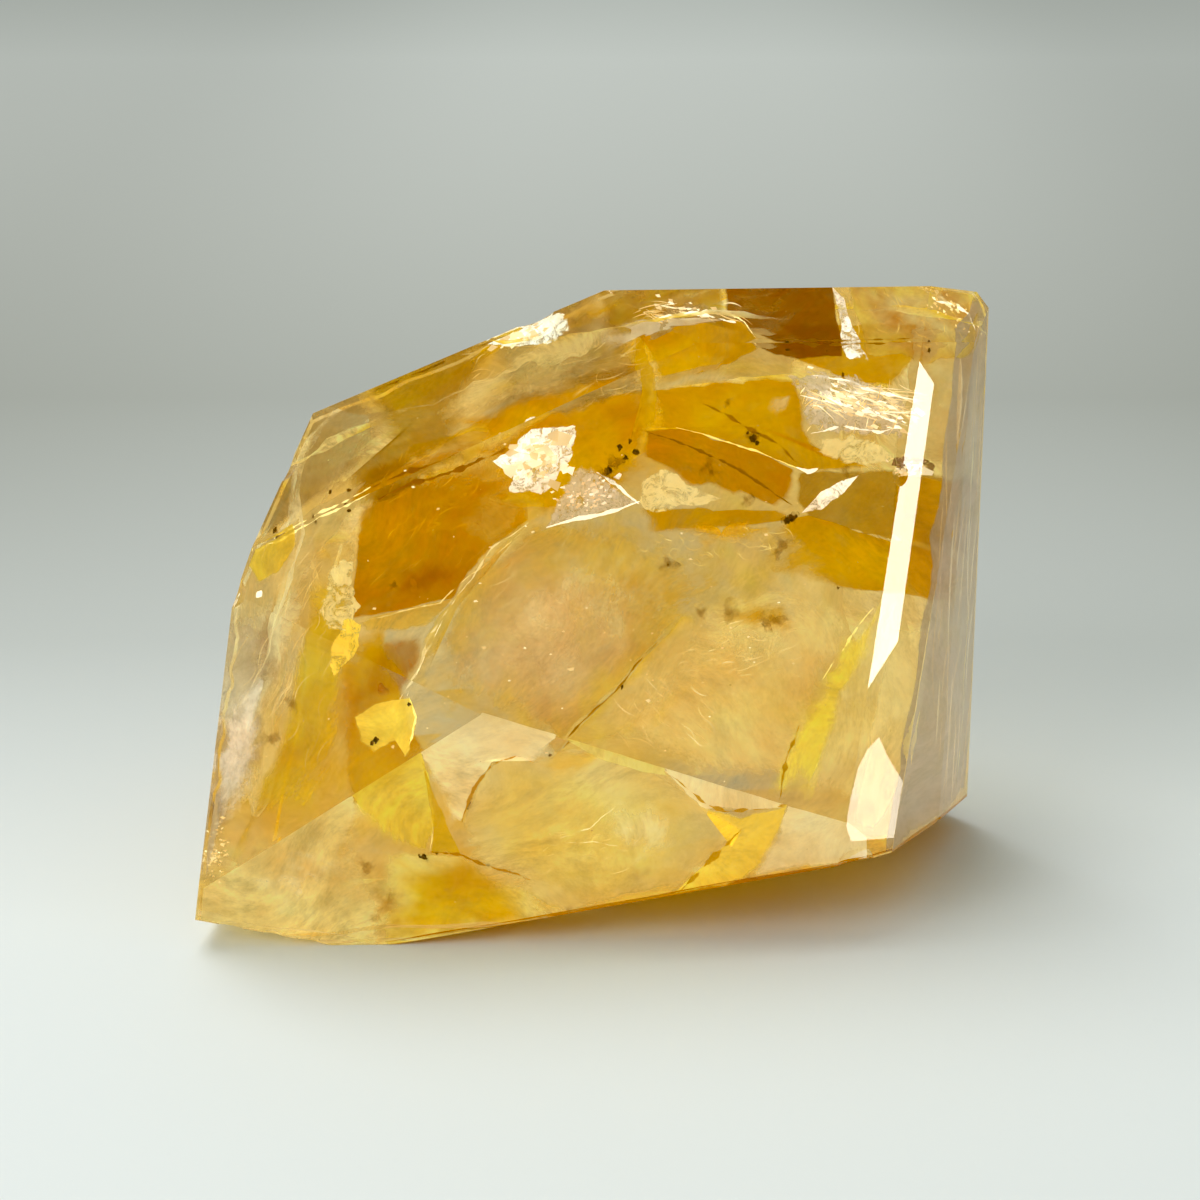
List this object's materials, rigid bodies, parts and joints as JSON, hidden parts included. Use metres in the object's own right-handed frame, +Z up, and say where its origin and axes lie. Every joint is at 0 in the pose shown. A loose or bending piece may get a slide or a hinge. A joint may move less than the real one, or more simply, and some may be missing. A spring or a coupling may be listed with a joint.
{
  "type": "polished quartz freeform",
  "caption": "Polished free-form block of golden healer quartz with flat ground facets and small edge chips, resting on its flat base.",
  "frame": {"origin": "centre of the stone's bounding box, on the flat base it rests on", "axes": "+Z up, the broad front facet looks towards -Y, +X along the stone's length"},
  "size_m": [0.077, 0.056, 0.0611],
  "materials": {
    "golden_quartz": "polished clear quartz with a pale honey tint",
    "golden_veil": "golden to orange iron-oxide film on healed cracks inside the stone",
    "milky_veil": "cream milky wisps inside the stone",
    "bright_crack": "silvery open cracks with a faint rainbow",
    "iron_speck": "dark brown iron-oxide specks"
  },
  "bodies": {
    "root": {"quartz": "golden_quartz"}
  },
  "joints": []
}
